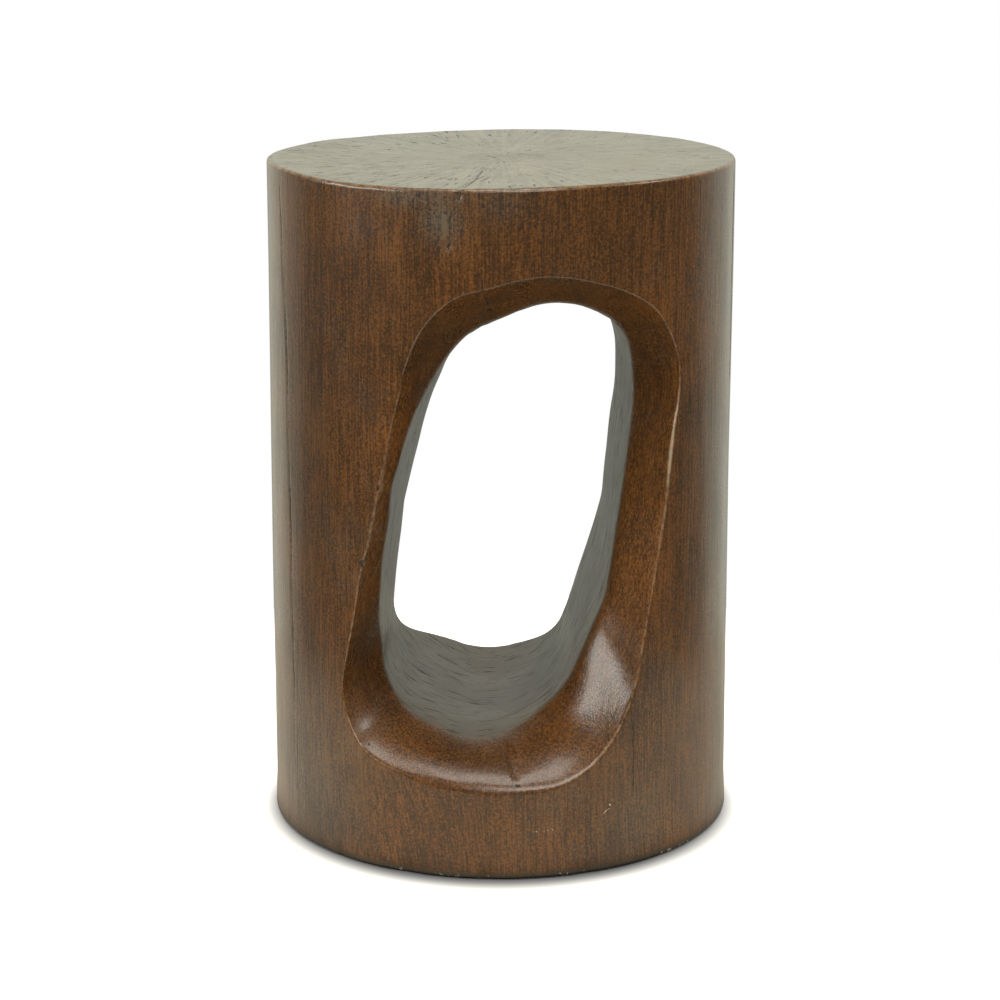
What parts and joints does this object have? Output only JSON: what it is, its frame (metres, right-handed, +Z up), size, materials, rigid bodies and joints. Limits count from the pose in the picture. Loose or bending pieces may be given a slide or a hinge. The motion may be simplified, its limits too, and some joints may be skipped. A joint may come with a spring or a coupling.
{
  "type": "stump side table",
  "caption": "Round solid-wood stump side table with a slanted, bevelled opening carved right through it, standing on small screwed-on rubber feet.",
  "frame": {"origin": "on the floor, under the middle of the log", "axes": "+Z up along the log, -Y out of the front of the opening, +X to the right seen from the front"},
  "size_m": [0.3179, 0.318, 0.457],
  "materials": {
    "stained_wood": "dark red-brown stain, streaked along the grain, under satin lacquer",
    "foot_rubber": "black moulded rubber, matte",
    "zinc_steel": "bright zinc plate"
  },
  "bodies": {
    "root": {"stump_body": "stained_wood", "front_left_foot": "foot_rubber", "front_left_foot_washer": "zinc_steel", "front_left_foot_screw": "zinc_steel", "front_right_foot": "foot_rubber", "front_right_foot_washer": "zinc_steel", "front_right_foot_screw": "zinc_steel", "rear_left_foot": "foot_rubber", "rear_left_foot_washer": "zinc_steel", "rear_left_foot_screw": "zinc_steel", "rear_right_foot": "foot_rubber", "rear_right_foot_washer": "zinc_steel", "rear_right_foot_screw": "zinc_steel"}
  },
  "joints": []
}
